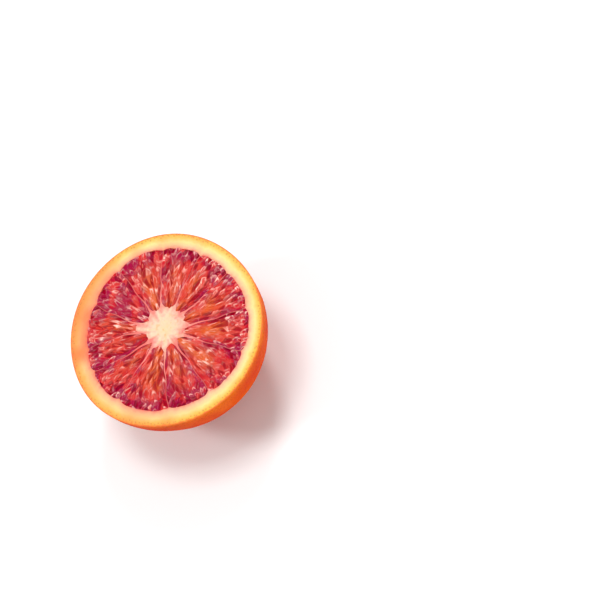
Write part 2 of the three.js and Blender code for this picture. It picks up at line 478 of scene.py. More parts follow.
@dataclass(frozen=True)
class Fruit:
    """Sizes of the half, and the curves of its plan and of its body."""

    face_radius: float = 37.5 * MM
    pole_share: float = 1.08
    cut_share: float = 0.02
    rest_radius: float = 8 * MM
    pulp_share: float = 0.842
    root_share: float = 0.25
    scallop: float = 1.0 * MM
    tip_rounding: float = 1.7 * MM
    membrane_half_width: float = 0.14 * MM
    root_widening: float = 0.28 * MM
    wobble: float = 0.22 * MM
    wobble_length: float = 5.5 * MM
    wobble_phase: float = 2.4
    edge_ripple: float = 0.2 * MM
    tip_ripple: float = 0.7 * MM
    body_swells: tuple[Swell, ...] = (Swell(2, 0.004, 40), Swell(3, 0.0065, -12), Swell(5, 0.003, 20))
    pulp_swells: tuple[Swell, ...] = (Swell(1, 0.015, 22), Swell(3, 0.016, -6))

    @property
    def pole_depth(self) -> float:
        """From the widest ring down to the pole."""
        return self.pole_share * self.face_radius

    @property
    def cut_height(self) -> float:
        """How far the cut lies above the widest ring."""
        return self.cut_share * self.face_radius

    @property
    def rest_depth(self) -> float:
        """From the widest ring down to the flat resting spot."""
        return self.pole_depth * math.sqrt(1 - (self.rest_radius / self.face_radius) ** 2)

    @property
    def face_height(self) -> float:
        """Height of the cut face."""
        return self.cut_height + self.rest_depth

    @property
    def pulp_radius(self) -> float:
        """Mean radius of the pulp."""
        return self.pulp_share * self.face_radius

    @property
    def root_radius(self) -> float:
        """Radius at which a membrane's root angle is given."""
        return self.root_share * self.face_radius

    @staticmethod
    def swell(swells: Sequence[Swell], angle: Array) -> Array:
        """The factor by which swells change a radius at each angle."""
        return 1 + sum(s.share * np.cos(s.waves * (angle - math.radians(s.peak))) for s in swells)

    def rind_edge(self, angle: Array) -> Array:
        """Radius of the cut edge's outside at each angle."""
        level = math.sqrt(1 - (self.cut_height / self.pole_depth) ** 2)
        return self.face_radius * level * self.swell(self.body_swells, angle)

    def membrane_angle(self, index: int, radius: Array) -> Array:
        """Angle of the membrane on a segment's clockwise side.

        Args:
            index: The segment's number. Past the last one it goes round again.
            radius: Radii at which to read it.

        Returns:
            The angle at each radius, rising without a break as the index rises.
        """
        turns, place = divmod(index, len(SEGMENTS))
        segment = SEGMENTS[place]
        share = np.clip((radius - self.root_radius) / (self.pulp_radius - self.root_radius), -0.3, 1)
        straight = np.radians(segment.root + (segment.rim - segment.root) * share)
        wave = np.sin(radius / self.wobble_length * TURN / 2 + self.wobble_phase * place) * self.wobble
        return straight + wave / np.maximum(radius, self.root_radius / 2) + turns * TURN

    def half_width(self, radius: Array) -> Array:
        """Half of a membrane's width at each radius: it thickens towards the core."""
        share = np.clip((self.pulp_radius - radius) / (self.pulp_radius - self.root_radius), 0, 1.2)
        return self.membrane_half_width + self.root_widening * share**3

    def pulp_edge(self, angle: Array) -> Array:
        """Where the pulp meets the pith, scalloped from membrane to membrane.

        Args:
            angle: Angles round the axis.

        Returns:
            The radius at each angle.
        """
        rims = np.array([self.membrane_angle(i, self.pulp_radius) for i in range(len(SEGMENTS) + 1)])
        turned = (angle - rims[0]) % TURN + rims[0]
        place = np.clip(np.searchsorted(rims, turned, side="right") - 1, 0, len(SEGMENTS) - 1)
        across = (turned - rims[place]) / (rims[place + 1] - rims[place])
        smooth = self.pulp_radius * self.swell(self.pulp_swells, angle)
        ripple = self.edge_ripple * SoftNoise(1.5 * MM, 11)(on_circle(self.pulp_radius, angle))
        return smooth + ripple - self.scallop * np.abs(2 * across - 1) ** 6

    def pocket_sides(self, index: int, inset: float) -> tuple[Array, Array, Array]:
        """The three stretches of a segment's pocket that its membranes and the core bound.

        Args:
            index: The segment's number.
            inset: How far the pocket's sides are drawn in from the membranes' faces.

        Returns:
            The clockwise side from the rim inwards, the rounded tip counter-clockwise, and the other side
            from the tip out to the rim.
        """
        tip = SEGMENTS[index].tip * self.face_radius
        outward = np.linspace(tip + self.tip_rounding, self.pulp_radius, 60)

        def side(edge: int, radius: Array) -> Array:
            """Follows one side.

            Args:
                edge: 0 for the clockwise side and 1 for the other.
                radius: Radii along it.

            Returns:
                Plan points along it.
            """
            toward = 1 if edge == 0 else -1
            gap = (self.half_width(radius) + inset) / radius
            angle = self.membrane_angle(index + edge, radius) + toward * gap
            stretched = self.reach(radius, angle, tip)
            return on_circle(stretched, self.membrane_angle(index + edge, stretched) + toward * gap)

        low, high = side(0, outward), side(1, outward)
        across = np.linspace(0, 1, 40)
        ends = np.abs(2 * across - 1) ** 4
        track = np.column_stack([across * tip, np.full(len(across), index)])
        ragged = self.tip_ripple * SoftNoise(1.6 * MM, 13)(track)
        radius = tip + inset + ragged * (1 - ends) + self.tip_rounding * ends
        gap = (self.half_width(radius) + inset) / radius
        start = self.membrane_angle(index, radius) + gap
        end = self.membrane_angle(index + 1, radius) - gap
        rounding = on_circle(radius, start + (end - start) * across)
        return low[::-1], rounding, high

    def reach(self, radius: Array, angle: Array, tip: float) -> Array:
        """Stretches radii along a side so that its last one lands on the pulp's edge at its angle."""
        share = smooth_step(tip + self.tip_rounding, self.pulp_radius, radius) ** 2
        return radius + share * (self.pulp_edge(angle) - self.pulp_radius)

    def pocket(self, index: int, spacing: float, inset: float) -> Array:
        """Outline of a segment's pulp, counter-clockwise.

        Args:
            index: The segment's number.
            spacing: How far apart its points are.
            inset: How far it is drawn in from the membranes' faces.

        Returns:
            The outline's points.
        """
        low, tip, high = self.pocket_sides(index, inset)
        start, end = (math.atan2(side[1], side[0]) for side in (low[0], high[-1]))
        end += TURN * (end < start)
        angle = np.linspace(start, end, 120)
        arc = on_circle(self.pulp_edge(angle), angle)
        loop = np.vstack([arc[1:-1][::-1], low, tip, high])
        return resampled(loop, spacing)[::-1] if turns_clockwise(loop) else resampled(loop, spacing)


def turns_clockwise(loop: Array) -> bool:
    """Whether a closed loop of plan points runs clockwise."""
    after = np.roll(loop, -1, axis=0)
    return float(np.sum(loop[:, 0] * after[:, 1] - loop[:, 1] * after[:, 0])) < 0


FRUIT = Fruit()


# ---------------------------------------------------------------------------------------------------------
# Shader bench
# ---------------------------------------------------------------------------------------------------------


def paint(red: int, green: int, blue: int) -> Colour:
    """A screen colour, each part from 0 to 255, as the linear light that shaders take.

    Args:
        red: The red part.
        green: The green part.
        blue: The blue part.

    Returns:
        The three linear parts.
    """
    shares = (part / 255 for part in (red, green, blue))
    return tuple(s / 12.92 if s <= 0.04045 else ((s + 0.055) / 1.055) ** 2.4 for s in shares)


@dataclass(frozen=True)
class Signal:
    """A number that varies over a surface. Arithmetic on it adds Math nodes."""

    bench: "Bench"
    socket: bpy.types.NodeSocket

    def maths(self, operation: str, *terms: "Signal | float") -> "Signal":
        """Adds one Math node.

        Args:
            operation: The node's operation.
            terms: What goes into it, in order.

        Returns:
            Its result.
        """
        node = self.bench.node("ShaderNodeMath", {"operation": operation}, dict(enumerate(terms)))
        return Signal(self.bench, node.outputs[0])

    def __add__(self, other: "Signal | float") -> "Signal":
        """The sum."""
        return self.maths("ADD", self, other)

    def __radd__(self, other: float) -> "Signal":
        """The sum, from the right."""
        return self.maths("ADD", other, self)

    def __sub__(self, other: "Signal | float") -> "Signal":
        """The difference."""
        return self.maths("SUBTRACT", self, other)

    def __rsub__(self, other: float) -> "Signal":
        """The difference, from the right."""
        return self.maths("SUBTRACT", other, self)

    def __mul__(self, other: "Signal | float") -> "Signal":
        """The product."""
        return self.maths("MULTIPLY", self, other)

    def __rmul__(self, other: float) -> "Signal":
        """The product, from the right."""
        return self.maths("MULTIPLY", other, self)

    def held(self) -> "Signal":
        """The number held between 0 and 1."""
        return self.maths("MINIMUM", self.maths("MAXIMUM", self, 0.0), 1.0)


class Bench:
    """Where one material's nodes are laid out."""

    def __init__(self, name: str) -> None:
        """Starts a material with no nodes.

        Args:
            name: The material's name.
        """
        self.material = bpy.data.materials.new(name)
        self.material.use_nodes = True
        self.tree = self.material.node_tree
        self.tree.nodes.clear()

    def node(self, kind: str, settings: dict | None = None, sockets: dict | None = None) -> bpy.types.Node:
        """Adds one node.

        Args:
            kind: The node's type.
            settings: What to set on it first. `stops` are a ramp's places and colours.
            sockets: Values or links for its inputs, by name or number.

        Returns:
            The node.
        """
        node = self.tree.nodes.new(kind)
        for name, value in (settings or {}).items():
            if name == "stops":
                self._set_stops(node.color_ramp, value)
            else:
                setattr(node, name, value)
        for name, value in (sockets or {}).items():
            source = value.socket if isinstance(value, Signal) else value
            if isinstance(source, bpy.types.NodeSocket):
                self.tree.links.new(source, node.inputs[name])
            else:
                wide = node.inputs[name].type == "RGBA" and len(source) == 3
                node.inputs[name].default_value = (*source, 1) if wide else source
        return node

    @staticmethod
    def _set_stops(ramp: bpy.types.ColorRamp, stops: Sequence[tuple[float, Colour]]) -> None:
        """Gives a ramp its stops.

        Args:
            ramp: The ramp.
            stops: Places and colours, in rising order.
        """
        while len(ramp.elements) < len(stops):
            ramp.elements.new(1)
        for element, (place, colour) in zip(ramp.elements, stops):
            element.position = place
            element.color = (*colour, 1)

    def mark(self, name: str) -> Signal:
        """A value that the mesh carries."""
        node = self.node("ShaderNodeAttribute", {"attribute_name": name})
        return Signal(self, node.outputs["Fac"])

    def place(self) -> bpy.types.NodeSocket:
        """The place on the object, in metres."""
        return self.node("ShaderNodeTexCoord").outputs["Object"]

    def noise(self, size: float, detail: float) -> Signal:
        """Cloudy noise from 0 to 1.

        Args:
            size: About how far apart its clouds are, in metres.
            detail: How many finer layers it has.

        Returns:
            The noise.
        """
        sockets = {"Vector": self.place(), "Scale": 1 / size, "Detail": detail}
        return Signal(self, self.node("ShaderNodeTexNoise", None, sockets).outputs[0])

    def ramp(self, factor: Signal, *stops: tuple[float, Colour]) -> bpy.types.NodeSocket:
        """A colour that follows a factor through stops."""
        return self.node("ShaderNodeValToRGB", {"stops": stops}, {"Fac": factor}).outputs["Color"]

    def blend(
        self,
        share: Signal,
        under: bpy.types.NodeSocket | Colour,
        over: bpy.types.NodeSocket | Colour,
    ) -> bpy.types.NodeSocket:
        """Lays one colour over another.

        Args:
            share: How much of the upper colour shows.
            under: The lower colour.
            over: The upper colour.

        Returns:
            The colour that results.
        """
        settings = {"data_type": "RGBA", "blend_type": "MIX", "clamp_factor": True}
        return self.node("ShaderNodeMix", settings, {0: share, 6: under, 7: over}).outputs[2]

    def relief(self, height: Signal, depth: float, strength: float) -> bpy.types.NodeSocket:
        """Fine relief that only the light sees.

        Args:
            height: The relief, from 0 to 1.
            depth: How deep it is, in metres.
            strength: How much of it counts.

        Returns:
            The normal that it gives.
        """
        sockets = {"Height": height, "Distance": depth, "Strength": strength}
        return self.node("ShaderNodeBump", None, sockets).outputs["Normal"]

    def finished(self, sockets: dict) -> bpy.types.Material:
        """Closes the material with one Principled shader.

        Args:
            sockets: What goes into the shader.

        Returns:
            The material.
        """
        shader = self.node("ShaderNodeBsdfPrincipled", None, sockets)
        self.node("ShaderNodeOutputMaterial", None, {"Surface": shader.outputs[0]})
        return self.material


# ---------------------------------------------------------------------------------------------------------
# Finishes
# ---------------------------------------------------------------------------------------------------------


@dataclass(frozen=True)
class SkinFinish:
    """The rind's waxy outside: orange with a red blush, darker in its pores, and painted lighter under the cut
    edge.
    """

    orange: Colour = paint(230, 60, 0)
    amber: Colour = paint(244, 98, 2)
    blush: Colour = paint(202, 26, 4)
    pore: Colour = paint(184, 34, 0)
    # A brighter orange, painted on as light just under the cut edge.
    glow: Colour = paint(252, 132, 10)
    roughness: float = 0.45
    cloud_size: float = 16 * MM
    flush_size: float = 24 * MM
    mottle_size: float = 2.6 * MM
    grain_size: float = 0.35 * MM
    patch_contrast: float = 4.0

    def material(self) -> bpy.types.Material:
        """Makes the material. It reads the mark `pore`, and a mark of painted light just under the cut edge.

        Returns:
            The material.
        """
        bench = Bench("rind_skin")
        clouds = bench.noise(self.cloud_size, 3)
        mottle = bench.noise(self.mottle_size, 3)
        flush = ((bench.noise(self.flush_size, 2) - 0.47) * self.patch_contrast + (mottle - 0.5)).held()
        ripe = ((clouds - 0.42) * self.patch_contrast).held()
        colour = bench.blend(ripe, self.orange, self.amber)
        colour = bench.blend(flush * 0.5, colour, self.blush)
        # Painted light: the skin turns brighter orange towards the cut edge.
        colour = bench.blend((bench.mark("glow") * 0.9).held(), colour, self.glow)
        colour = bench.blend((bench.mark("pore") * 0.5).held(), colour, self.pore)
        grain = bench.noise(self.grain_size, 2)
        return bench.finished(
            {
                "Base Color": colour,
                "Roughness": self.roughness + (mottle - 0.5) * 0.2,
                "Normal": bench.relief(grain, 0.02 * MM, 0.5),
                "Specular IOR Level": 0.0,
                "Coat Weight": 0.14,
                "Coat Roughness": 0.22,
            }
        )


@dataclass(frozen=True)
class SectionFinish:
    """Rind and pith where the knife went through: orange at the skin, then yellow, cream and pinkish."""

    pale: tuple[tuple[float, Colour], ...] = (
        (0.0, paint(240, 110, 12)),
        (0.06, paint(242, 150, 38)),
        (0.13, paint(244, 178, 58)),
        (0.3, paint(240, 190, 82)),
        (0.54, paint(242, 212, 136)),
        (0.78, paint(242, 190, 138)),
        (0.93, paint(240, 160, 124)),
        (1.0, paint(232, 126, 104)),
    )
    warm: tuple[tuple[float, Colour], ...] = (
        (0.0, paint(232, 86, 6)),
        (0.13, paint(234, 114, 24)),
        (0.3, paint(236, 122, 38)),
        (0.54, paint(238, 122, 56)),
        (0.8, paint(238, 124, 74)),
        (1.0, paint(230, 100, 76)),
    )
    gland: Colour = paint(178, 114, 30)
    roughness: float = 0.5
    cloud_size: float = 1.4 * MM
    fibre_size: float = 0.3 * MM

    def material(self) -> bpy.types.Material:
        """Makes the material. It reads the marks `depth`, `warmth` and `gland`.

        Returns:
            The material.
        """
        bench = Bench("rind_section")
        cloud = bench.noise(self.cloud_size, 3)
        depth = (bench.mark("depth") + (cloud - 0.5) * 0.24).held()
        pale, warm = bench.ramp(depth, *self.pale), bench.ramp(depth, *self.warm)
        colour = bench.blend(bench.mark("warmth"), pale, warm)
        colour = bench.blend(bench.mark("gland") * 0.75, colour, self.gland)
        fibres = bench.noise(self.fibre_size, 3)
        return bench.finished(
            {
                "Base Color": colour,
                "Roughness": self.roughness + (cloud - 0.5) * 0.25,
                "Normal": bench.relief(fibres, 0.05 * MM, 0.6),
                "Subsurface Weight": 0.3,
                "Subsurface Radius": (1.0, 0.6, 0.3),
                "Subsurface Scale": 0.7 * MM,
            }
        )


@dataclass(frozen=True)
class PulpFinish:
    """Wet flesh of the juice sacs: coral, red and dark wine, orange streaks, pale walls with painted
    highlights, and painted shade in sunken sacs.
    """

    coral: Colour = paint(208, 56, 52)
    red: Colour = paint(192, 4, 34)
    wine: Colour = paint(160, 0, 60)
    amber: Colour = paint(214, 90, 38)
    # Pale pink of the sac walls, also used for the painted highlights along them.
    wall: Colour = paint(255, 204, 190)
    # Painted shade for the hollows of sunken sacs.
    hollow_shade: Colour = paint(148, 0, 34)
    roughness: float = 0.3
    wetness: float = 0.3
    cloud_size: float = 0.9 * MM
    film_size: float = 0.7 * MM

    def material(self) -> bpy.types.Material:
        """Makes the material. It reads the marks `tone`, `wine` and `amber`, the mark `wall` of pale walls with
        painted highlights, and a mark of painted shade for sunken sacs.

        Returns:
            The material.
        """
        bench = Bench("pulp_flesh")
        cloud = bench.noise(self.cloud_size, 3)
        redness = (bench.mark("wine") + (bench.mark("tone") - 0.5) * 0.8 + (cloud - 0.5) * 0.6).held()
        colour = bench.ramp(redness, (0.0, self.coral), (0.42, self.red), (0.85, self.wine))
        colour = bench.blend((bench.mark("amber") + (cloud - 0.5) * 0.3).held(), colour, self.amber)
        # Painted shade darkens the hollows of sunken sacs.
        colour = bench.blend((bench.mark("hollow_shade") * 0.85).held(), colour, self.hollow_shade)
        # Pale sac walls, laid on with painted highlights on their side towards the lights.
        colour = bench.blend(bench.mark("wall").held(), colour, self.wall)
        film = bench.noise(self.film_size, 2)
        wet = self.wetness + bench.mark("wall") * self.wetness - bench.mark("hollow_shade") * self.wetness
        return bench.finished(
            {
                "Base Color": colour,
                "Roughness": self.roughness + (cloud - 0.5) * 0.2,
                "Normal": bench.relief(film, 0.03 * MM, 0.5),
                "Subsurface Weight": 0.4,
                "Subsurface Radius": (1.0, 0.15, 0.12),
                "Subsurface Scale": 0.5 * MM,
                "Specular IOR Level": 0.0,
                "Coat Weight": wet.held(),
                "Coat Roughness": 0.05,
            }
        )


@dataclass(frozen=True)
class MembraneFinish:
    """The spongy core and the thin membranes: cream in the middle and pink towards the rind."""

    stops: tuple[tuple[float, Colour], ...] = (
        (0.0, paint(234, 198, 150)),
        (0.13, paint(236, 196, 164)),
        (0.2, paint(236, 168, 146)),
        (0.3, paint(230, 118, 106)),
        (0.6, paint(222, 88, 84)),
        (1.0, paint(216, 78, 76)),
    )
    crack: Colour = paint(226, 160, 96)
    roughness: float = 0.42
    cloud_size: float = 1.2 * MM
    sponge_size: float = 0.25 * MM

    def material(self) -> bpy.types.Material:
        """Makes the material. It reads the marks `reach` and `crack`.

        Returns:
            The material.
        """
        bench = Bench("core_and_membranes")
        cloud = bench.noise(self.cloud_size, 4)
        reach = (bench.mark("reach") + (cloud - 0.5) * 0.22).held()
        colour = bench.ramp(reach, *self.stops)
        colour = bench.blend((bench.mark("crack") * 0.6).held(), colour, self.crack)
        return bench.finished(
            {
                "Base Color": colour,
                "Roughness": self.roughness + (cloud - 0.5) * 0.3,
                "Normal": bench.relief(bench.noise(self.sponge_size, 3), 0.05 * MM, 0.6),
                "Subsurface Weight": 0.4,
                "Subsurface Radius": (1.0, 0.5, 0.35),
                "Subsurface Scale": 0.6 * MM,
            }
        )


@dataclass(frozen=True)
class ScarFinish:
    """The dry, corky scar at the pole."""

    cork: Colour = paint(150, 104, 58)
    dark: Colour = paint(84, 52, 28)
    roughness: float = 0.85
    cloud_size: float = 0.5 * MM

    def material(self) -> bpy.types.Material:
        """Makes the material.

        Returns:
            The material.
        """
        bench = Bench("pole_scar")
        cloud = bench.noise(self.cloud_size, 4)
        return bench.finished(
            {
                "Base Color": bench.blend(((cloud - 0.4) * 3).held(), self.dark, self.cork),
                "Roughness": self.roughness,
                "Normal": bench.relief(cloud, 0.1 * MM, 0.8),
            }
        )


@dataclass(frozen=True)
class FloorFinish:
    """A plain white floor, a little glossy."""

    white: Colour = (0.93, 0.93, 0.93)

    def material(self) -> bpy.types.Material:
        """Makes the material."""
        bench = Bench("studio_floor")
        return bench.finished({"Base Color": self.white, "Roughness": 0.35, "Specular IOR Level": 0.3})


# ---------------------------------------------------------------------------------------------------------
# Pieces
# ---------------------------------------------------------------------------------------------------------


def fit_to_frame(piece: bpy.types.Object) -> bpy.types.Object:
    """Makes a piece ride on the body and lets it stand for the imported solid.

    Args:
        piece: The piece.

    Returns:
        The same piece.
    """
    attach(piece, BODY)
    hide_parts(CAD_NODE)
    return piece


@dataclass
class Bowl:
    """A bowl-shaped stretch of surface, from a closed loop at its rim down to the pole.

    Attributes:
        loop: Angles of the rim's points round the axis, in rising order.
        rim: The rim's angle from the pole, seen from the bowl's middle.
        pitch: How far apart the inner points are, as an angle.
        refinements: How often the triangles are made three times as many.
        seed: What the points' random shifts start from.
    """

    loop: Array
    rim: float
    pitch: float
    refinements: int = 0
    seed: int = 0

    JITTER = 0.16

    def laid(self) -> tuple[Array, Array, Array, int]:
        """Lays out the points and triangles.

        Returns:
            Each point's angle from the pole, its angle round the axis, the triangles, counter-clockwise
            seen from above, and how many of the points past the rim's are seeds of the pattern.
        """
        count = round(TURN * (1 - math.cos(self.rim)) / (self.pitch**2 * ROW_HEIGHT))
        rng = np.random.default_rng(self.seed)
        number = np.arange(count) + 0.5
        down = np.arccos(1 - number / count * (1 - math.cos(self.rim)))
        down = down + rng.normal(0, self.JITTER * self.pitch, count)
        around = number * GOLDEN_TURN + rng.normal(0, self.JITTER * self.pitch, count) / np.sin(down)
        kept = (down > 0) & (down < self.rim - EDGE_CLEARANCE * self.pitch)
        rim = on_circle(np.full(len(self.loop), math.tan(self.rim / 2)), self.loop)
        points, triangles = filled(rim, on_circle(np.tan(down[kept] / 2), around[kept]))
        seeds = len(points) - len(self.loop)
        for _ in range(self.refinements):
            points, triangles = root_three_refined(points, triangles)
        return 2 * np.arctan(np.hypot(*points.T)), np.arctan2(points[:, 1], points[:, 0]), triangles, seeds


@dataclass(frozen=True)
class RindSection:
    """The cut ring of rind and pith: its relief and the values that its finish reads.

    Its warm spots are given by their middle and width, in degrees, and their strength.
    """

    fruit: Fruit = FRUIT
    dish: float = 0.25 * MM
    drop: float = 0.15 * MM
    roughening: float = 0.035 * MM
    gland_pitch: float = 1.25 * MM
    gland_depth: float = 0.95 * MM
    gland_half_width: float = 0.3 * MM
    gland_dent: float = 0.12 * MM
    gland_scatter: float = 0.38
    gland_depths: tuple[float, float] = (0.6, 1.5)
    gland_seed: int = 5
    rough_size: float = 0.7 * MM
    fine_size: float = 0.35 * MM
    warm_size: float = 5 * MM
    warm_drift: float = 0.25
    warm_spots: tuple[tuple[float, float, float], ...] = ((176, 48, 0.95), (265, 25, 0.4))

    def glands(self) -> Array:
        """Finds the oil glands that the cut opened, in a ring just under the skin.

        Returns:
            Their plan points.
        """
        rng = np.random.default_rng(self.gland_seed)
        count = round(TURN * self.fruit.face_radius / self.gland_pitch)
        scatter = rng.uniform(-self.gland_scatter, self.gland_scatter, count)
        angle = (np.arange(count) + scatter) / count * TURN
        inward = self.gland_depth * rng.uniform(*self.gland_depths, count)
        return on_circle(self.fruit.rind_edge(angle) - inward, angle)

    def read(self, share: float, angle: Array) -> tuple[Array, dict[str, Array]]:
        """Reads the section at a share of the way in from the skin.

        Args:
            share: 0 at the skin and 1 at the pulp.
            angle: Angles round the axis.

        Returns:
            The points there, and the marks `depth`, `warmth` and `gland`.
        """
        outer, inner = self.fruit.rind_edge(angle), self.fruit.pulp_edge(angle)
        plan = on_circle(outer + (inner - outer) * share, angle)
        glands = self.glands()
        nearest = np.min(np.hypot(*(plan[:, None] - glands[None]).transpose(2, 0, 1)), axis=1)
        gland = bell(nearest, self.gland_half_width)
        rough = SoftNoise(self.rough_size, 21)(plan) + 0.6 * SoftNoise(self.fine_size, 22)(plan)
        sag = self.dish * math.sin(math.pi * share) + self.drop * share
        ease = smooth_step(0, 0.06, np.full(len(plan), share))
        height = self.fruit.face_height - sag + ease * (self.roughening * rough - self.gland_dent * gland)
        warmth = self.warm_drift * SoftNoise(self.warm_size, 23)(plan)
        for middle, width, strength in self.warm_spots:
            away = (np.degrees(angle) - middle + 180) % 360 - 180
            warmth += strength * bell(away, width)
        warmth = np.clip(warmth, 0, 1)
        marks = {"depth": np.full(len(plan), share), "warmth": warmth, "gland": gland}
        return np.column_stack([plan, height]), marks


@dataclass
class Rind:
    """The coloured outer rind: pitted skin outside, a thin cut band on top and a smooth inside."""

    fruit: Fruit = FRUIT
    section: RindSection = RindSection()
    pore_pitch: float = 1.2 * MM
    pore_depth: float = 0.075 * MM
    pore_half_width: float = 0.3 * MM
    edge_rounding: float = 0.3 * MM
    edge_rings: int = 3
    column_width: float = 0.25 * MM
    band_share: float = 0.26
    band_rings: int = 7
    dimple_radius: float = 3.2 * MM
    dimple_depth: float = 0.7 * MM
    # How far below the cut edge the painted light on the skin fades.
    glow_run: float = 2.6 * MM
    still_run: float = 1.2 * MM
    rest_run: float = 4.0 * MM
    lump_depth: float = 0.05 * MM
    lump_size: float = 3.5 * MM
    billow_depth: float = 0.1 * MM
    billow_size: float = 11 * MM
    pore_mean: float = 0.75
    pore_spread: float = 0.3
    pore_limits: tuple[float, float] = (0.1, 1.4)
    pore_seed: int = 7
    bowl_seed: int = 3

    @property
    def loop(self) -> Array:
        """Angles of the columns round the cut edge."""
        return column_angles(self.fruit.face_radius, self.column_width)

    def skin(self, surface: Surface) -> Array:
        """Adds the pitted skin from the cut edge to the pole.

        Args:
            surface: The surface it is added to.

        Returns:
            The numbers of its rim's points.
        """
        fruit, loop = self.fruit, self.loop
        top = fruit.cut_height - self.edge_rounding
        rim = math.acos(-top / fruit.pole_depth)
        bowl = Bowl(loop, rim, self.pore_pitch / fruit.face_radius, refinements=2, seed=self.bowl_seed)
        down, around, triangles, seeds = bowl.laid()
        radius = fruit.face_radius * np.sin(down) * fruit.swell(fruit.body_swells, around)
        level = np.maximum(-fruit.pole_depth * np.cos(down), -fruit.rest_depth)
        points = np.column_stack([on_circle(radius, around), level + fruit.rest_depth])
        inward = -points * np.array([1, 1, 0]) / fruit.face_radius**2
        inward[:, 2] = -level / fruit.pole_depth**2
        inward[level <= -fruit.rest_depth] = (0, 0, 1)
        inward /= np.linalg.norm(inward, axis=1, keepdims=True)
        pore = self.pores(points, len(loop), seeds)
        free = smooth_step(0, self.still_run, top + fruit.rest_depth - points[len(loop) :, 2])
        fade = np.concatenate([np.zeros(len(loop)), free])
        lumps = self.lump_depth * (1 + SoftNoise(self.lump_size, 31)(points))
        lumps = lumps + self.billow_depth * (1 + SoftNoise(self.billow_size, 32)(points))
        lumps *= smooth_step(0, self.rest_run, points[:, 2])
        points += inward * ((self.pore_depth * pore + lumps) * fade)[:, None]
        navel = np.hypot(points[:, 0], points[:, 1])
        dimple = self.dimple_depth * bell(navel, self.dimple_radius / 1.7)
        points[:, 2] += dimple * (navel < 2 * self.dimple_radius)
        # Painted light: a mark that brightens the skin at the cut edge and fades below it.
        glow = np.exp((points[:, 2] - fruit.face_height) / self.glow_run)
        numbers = surface.add_points(points, pore=pore, glow=glow)
        surface.add_triangles(numbers[triangles[:, ::-1]], finish=0)
        return numbers[: len(loop)]

    def pores(self, points: Array, rim: int, seeds: int) -> Array:
        """How deep in a pore each point of the skin lies.

        Args:
            points: The skin's points.
            rim: How many of them lie on the rim.
            seeds: How many of the next ones are pores.

        Returns:
            0 between the pores and about 1 in the middle of a large one.
        """
        rng = np.random.default_rng(self.pore_seed)
        strength = np.clip(rng.normal(self.pore_mean, self.pore_spread, seeds), *self.pore_limits)
        tree = KDTree(seeds)
        for i, point in enumerate(points[rim : rim + seeds]):
            tree.insert(point, i)
        tree.balance()
        depth = np.zeros(len(points))
        for i, point in enumerate(points):
            for _, pore, distance in tree.find_n(point, 2):
                depth[i] += strength[pore] * math.exp(-((distance / self.pore_half_width) ** 2))
        return depth

    def build(self, finishes: Sequence[bpy.types.Material]) -> bpy.types.Object:
        """Builds the piece.

        Args:
            finishes: The skin's material and the section's.

        Returns:
            The piece.
        """
        surface = Surface.empty("pore", "glow", "depth", "warmth", "gland")
        upper = self.skin(surface)
        loop, fruit = self.loop, self.fruit
        for i in range(1, self.edge_rings + 1):
            turn = i / self.edge_rings * math.pi / 2
            radius = fruit.rind_edge(loop) - self.edge_rounding * (1 - math.cos(turn))
            height = fruit.face_height - self.edge_rounding * (1 - math.sin(turn))
            points = np.column_stack([on_circle(radius, loop), np.full(len(loop), height)])
            lower = surface.add_points(points, depth=0.0)
            surface.band(lower, upper, finish=1)
            upper = lower
        start = self.edge_rounding / (fruit.face_radius - fruit.pulp_radius)
        for share in np.linspace(start, self.band_share, self.band_rings + 1)[1:]:
            points, marks = self.section.read(share, loop)
            lower = surface.add_points(points, **marks)
            surface.band(lower, upper, finish=1)
            upper = lower
        self.close(surface, upper, points)
        return fit_to_frame(surface.make("rind", finishes, [upper]))

    def close(self, surface: Surface, rim: Array, points: Array) -> None:
        """Closes the rind with its inside, a smooth bowl below the cut band's inner edge.

        Args:
            surface: The surface it is added to.
            rim: Point numbers of that edge.
            points: Its points.
        """
        down, around, triangles, _ = Bowl(self.loop, math.pi / 2, HIDDEN_PITCH).laid()
        reach = np.interp(around, self.loop, np.hypot(points[:, 0], points[:, 1]), period=TURN)
        top = np.interp(around, self.loop, points[:, 2], period=TURN)
        thickness = self.fruit.face_radius - float(np.mean(reach))
        height = top - (top - thickness) * np.cos(down)
        inner = np.column_stack([on_circle(reach * np.sin(down), around), height])
        numbers = surface.add_points(inner[len(rim) :], depth=self.band_share)
        numbers = np.concatenate([rim, numbers])
        surface.add_triangles(numbers[triangles], finish=1)


